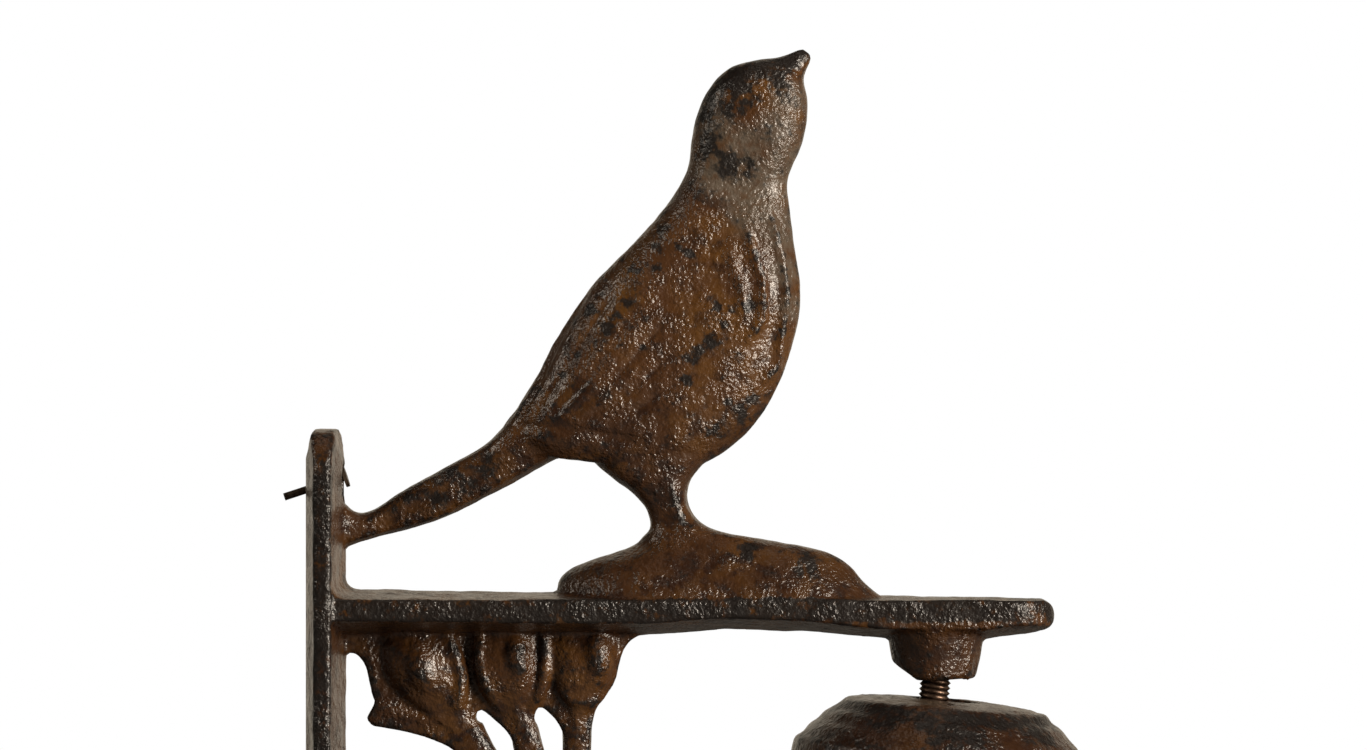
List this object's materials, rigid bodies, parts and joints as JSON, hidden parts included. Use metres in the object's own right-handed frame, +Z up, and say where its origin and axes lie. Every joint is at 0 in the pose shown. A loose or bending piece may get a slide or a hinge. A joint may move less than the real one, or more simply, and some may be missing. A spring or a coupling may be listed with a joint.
{
  "type": "wall bell",
  "caption": "Cast iron wall bell: plate, arm, perched bird and bud ornament in one casting, and a bell with a swinging clapper under the arm's end.",
  "frame": {"origin": "on the wall face of the plate, in the casting's middle plane, level with the top of the arm", "axes": "+X away from the wall along the arm, +Y to the far side when the arm points right, +Z up"},
  "size_m": [0.163, 0.084, 0.2359],
  "materials": {
    "bracket": "rust-brown lacquer with dark patches",
    "bell": "rust-brown lacquer with dark patches",
    "clapper": "rust-brown lacquer",
    "eye_bolt": "browned steel",
    "washer": "browned steel",
    "nut": "browned steel",
    "wall_nail": "dark steel"
  },
  "bodies": {
    "bracket": {"bracket": "bracket", "eye_bolt": "eye_bolt", "washer": "washer", "nut": "nut", "wall_nail": "wall_nail"},
    "bell": {"bell": "bell"},
    "clapper": {"clapper": "clapper"}
  },
  "joints": [
    {"name": "bell_turn", "type": "hinge", "parent": "bracket", "child": "bell", "pos_m": [0.12275, 0, -0.02129], "axis": [0.0872, 0, 0.9962], "continuous": true},
    {"name": "clapper_swing", "type": "hinge", "parent": "bracket", "child": "clapper", "pos_m": [0.11799, 0, -0.04934], "axis": [0, 1, 0], "range_deg": [-32, 35]}
  ]
}
